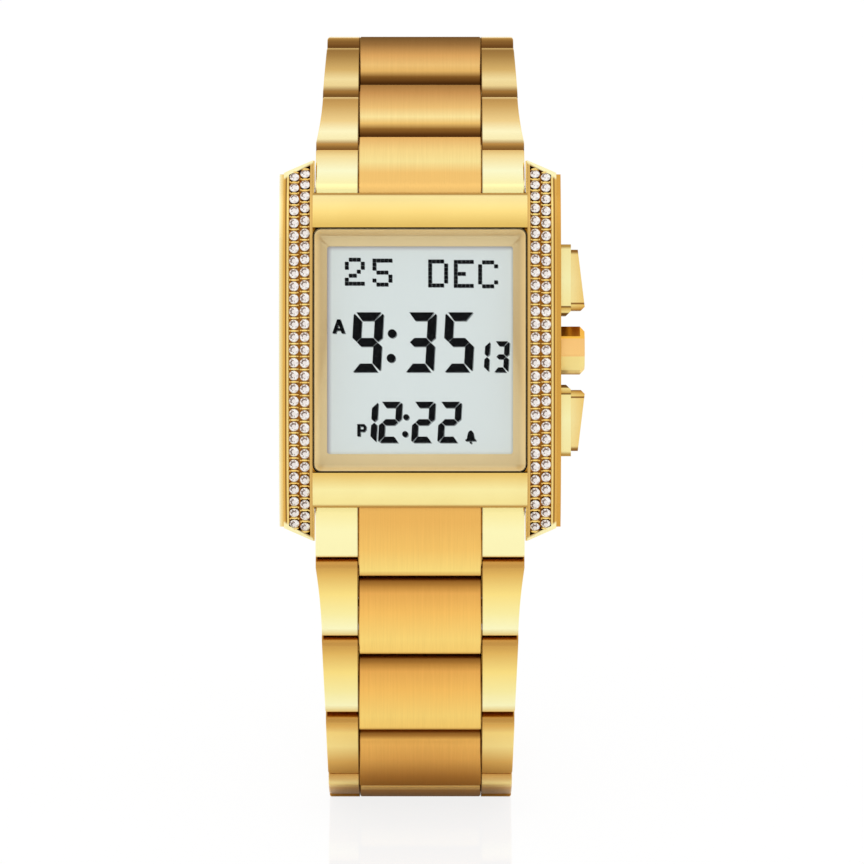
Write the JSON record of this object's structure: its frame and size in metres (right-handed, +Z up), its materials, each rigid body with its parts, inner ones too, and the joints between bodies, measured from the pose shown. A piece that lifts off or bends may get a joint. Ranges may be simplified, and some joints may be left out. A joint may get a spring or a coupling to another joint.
{
  "type": "digital wristwatch",
  "caption": "Gold-plated rectangular digital wristwatch with stone-set flanks, side pushers and a closed link bracelet with folding clasp, standing on its bracelet.",
  "frame": {"origin": "middle of the flat outer face of the lower bracelet link that the watch stands on", "axes": "+Z up, +X across the bracelet towards the pushers, +Y from the dial towards the clasp"},
  "size_m": [0.035, 0.0603, 0.0887],
  "materials": {
    "case_gold": "polished gold plating",
    "flank_gold": "polished gold plating",
    "bracelet_gold": "gold plating, satin centre pieces and polished outer pieces",
    "clasp_gold": "gold plating, fine brushed",
    "pusher_gold": "polished gold plating",
    "hardware_steel": "turned stainless steel",
    "stones": "clear cut crystal stones",
    "crystal": "clear mineral glass",
    "seal_rubber": "black nitrile rubber",
    "dial_mask": "flat beige gold print",
    "lcd": "pale grey liquid crystal panel",
    "backlight": "pale electroluminescent sheet",
    "strip_rubber": "layered conductive rubber",
    "module_plastic": "black moulded plastic",
    "board": "green solder mask",
    "battery_can": "nickel plated cell can",
    "buzzer_brass": "brass piezo disc"
  },
  "bodies": {
    "case": {"case_middle": "case_gold", "flank_left": "flank_gold", "flank_right": "flank_gold", "stones_left": "stones", "stones_right": "stones", "crystal": "crystal", "crystal_gasket": "seal_rubber", "dial_frame": "dial_mask", "lcd_panel": "lcd", "backlight_panel": "backlight", "connector_strips": "strip_rubber", "module_frame": "module_plastic", "circuit_board": "board", "battery": "battery_can", "battery_clip": "hardware_steel", "buzzer": "buzzer_brass", "case_back": "case_gold", "case_back_gasket": "seal_rubber", "case_back_screws": "hardware_steel", "pusher_guards": "pusher_gold", "pusher_seals": "seal_rubber", "pusher_spring_top": "hardware_steel", "pusher_spring_bottom": "hardware_steel", "pusher_spring_centre": "hardware_steel", "spring_bar_upper": "hardware_steel", "spring_bar_lower": "hardware_steel"},
    "top_pusher": {"pusher_top": "pusher_gold"},
    "bottom_pusher": {"pusher_bottom": "pusher_gold"},
    "centre_pusher": {"centre_button": "pusher_gold"},
    "lower_1": {"lower_link_1": "bracelet_gold"},
    "lower_2": {"lower_link_2": "bracelet_gold"},
    "lower_3": {"lower_link_3": "bracelet_gold"},
    "lower_4": {"lower_link_4": "bracelet_gold"},
    "lower_5": {"lower_link_5": "bracelet_gold"},
    "lower_6": {"lower_link_6": "bracelet_gold"},
    "lower_7": {"lower_link_7": "bracelet_gold"},
    "lower_8": {"lower_link_8": "bracelet_gold"},
    "lower_9": {"lower_link_9": "bracelet_gold", "clasp_spring_bar": "hardware_steel"},
    "upper_1": {"upper_link_1": "bracelet_gold"},
    "upper_2": {"upper_link_2": "bracelet_gold"},
    "upper_3": {"upper_link_3": "bracelet_gold"},
    "upper_4": {"upper_link_4": "bracelet_gold"},
    "upper_5": {"upper_link_5": "bracelet_gold"},
    "upper_6": {"upper_link_6": "bracelet_gold"},
    "upper_7": {"upper_link_7": "bracelet_gold"},
    "upper_8": {"upper_link_8": "bracelet_gold"},
    "clasp_cover": {"clasp_cover": "clasp_gold", "cover_pivot_pin": "hardware_steel", "cover_hinge_pin": "hardware_steel"},
    "clasp_middle": {"clasp_middle_blade": "clasp_gold", "blade_hinge_pin": "hardware_steel"},
    "clasp_inner": {"clasp_inner_blade": "clasp_gold"}
  },
  "joints": [
    {"name": "top_pusher_press", "type": "slide", "parent": "case", "child": "top_pusher", "axis": [-1, 0, 0], "range_m": [0, 0.0008], "stiffness_N_per_m": 2500, "deforming": ["pusher_spring_top"]},
    {"name": "bottom_pusher_press", "type": "slide", "parent": "case", "child": "bottom_pusher", "axis": [-1, 0, 0], "range_m": [0, 0.0008], "stiffness_N_per_m": 2500, "deforming": ["pusher_spring_bottom"]},
    {"name": "centre_pusher_press", "type": "slide", "parent": "case", "child": "centre_pusher", "axis": [-1, 0, 0], "range_m": [0, 0.0008], "stiffness_N_per_m": 2500, "deforming": ["pusher_spring_centre"]},
    {"name": "lower_hinge_1", "type": "hinge", "parent": "case", "child": "lower_1", "pos_m": [0, -0.02129, 0.03834], "axis": [-1, 0, 0], "range_deg": [0, 12]},
    {"name": "lower_hinge_2", "type": "hinge", "parent": "lower_1", "child": "lower_2", "pos_m": [0, -0.02129, 0.03184], "axis": [-1, 0, 0], "range_deg": [0, 8]},
    {"name": "lower_hinge_3", "type": "hinge", "parent": "lower_2", "child": "lower_3", "pos_m": [0, -0.02081, 0.02255], "axis": [-1, 0, 0], "range_deg": [0, 10]},
    {"name": "lower_hinge_4", "type": "hinge", "parent": "lower_3", "child": "lower_4", "pos_m": [0, -0.01951, 0.01334], "axis": [-1, 0, 0], "range_deg": [0, 31]},
    {"name": "lower_hinge_5", "type": "hinge", "parent": "lower_4", "child": "lower_5", "pos_m": [0, -0.01431, 0.00563], "axis": [-1, 0, 0], "range_deg": [0, 38]},
    {"name": "lower_hinge_6", "type": "hinge", "parent": "lower_5", "child": "lower_6", "pos_m": [0, -0.00575, 0.002], "axis": [-1, 0, 0], "range_deg": [0, 28]},
    {"name": "lower_hinge_7", "type": "hinge", "parent": "lower_6", "child": "lower_7", "pos_m": [0, 0.00355, 0.002], "axis": [-1, 0, 0], "range_deg": [0, 5]},
    {"name": "lower_hinge_8", "type": "hinge", "parent": "lower_7", "child": "lower_8", "pos_m": [0, 0.01285, 0.002], "axis": [-1, 0, 0], "range_deg": [0, 33]},
    {"name": "lower_hinge_9", "type": "hinge", "parent": "lower_8", "child": "lower_9", "pos_m": [0, 0.02106, 0.00637], "axis": [-1, 0, 0], "range_deg": [0, 33]},
    {"name": "upper_hinge_1", "type": "hinge", "parent": "case", "child": "upper_1", "pos_m": [0, -0.01372, 0.07395], "axis": [1, 0, 0], "range_deg": [0, 45]},
    {"name": "upper_hinge_2", "type": "hinge", "parent": "upper_1", "child": "upper_2", "pos_m": [0, -0.00827, 0.07749], "axis": [1, 0, 0], "range_deg": [0, 7]},
    {"name": "upper_hinge_3", "type": "hinge", "parent": "upper_2", "child": "upper_3", "pos_m": [0, -0.0003, 0.08228], "axis": [1, 0, 0], "range_deg": [0, 8]},
    {"name": "upper_hinge_4", "type": "hinge", "parent": "upper_3", "child": "upper_4", "pos_m": [0, 0.00791, 0.08664], "axis": [1, 0, 0], "range_deg": [0, 42]},
    {"name": "upper_hinge_5", "type": "hinge", "parent": "upper_4", "child": "upper_5", "pos_m": [0, 0.0171, 0.08519], "axis": [1, 0, 0], "range_deg": [0, 28]},
    {"name": "upper_hinge_6", "type": "hinge", "parent": "upper_5", "child": "upper_6", "pos_m": [0, 0.02498, 0.08026], "axis": [1, 0, 0], "range_deg": [0, 28]},
    {"name": "upper_hinge_7", "type": "hinge", "parent": "upper_6", "child": "upper_7", "pos_m": [0, 0.03032, 0.07264], "axis": [1, 0, 0], "range_deg": [0, 23]},
    {"name": "upper_hinge_8", "type": "hinge", "parent": "upper_7", "child": "upper_8", "pos_m": [0, 0.03304, 0.06375], "axis": [1, 0, 0], "range_deg": [0, 17]},
    {"name": "cover_hinge", "type": "hinge", "parent": "upper_8", "child": "clasp_cover", "pos_m": [0, 0.03385, 0.05448], "axis": [1, 0, 0], "range_deg": [0, 20]},
    {"name": "middle_blade_hinge", "type": "hinge", "parent": "clasp_cover", "child": "clasp_middle", "pos_m": [0, 0.02728, 0.01704], "axis": [1, 0, 0], "range_deg": [0, 85]},
    {"name": "inner_blade_hinge", "type": "hinge", "parent": "clasp_middle", "child": "clasp_inner", "pos_m": [0, 0.0328, 0.04837], "axis": [-1, 0, 0], "range_deg": [0, 120]}
  ]
}
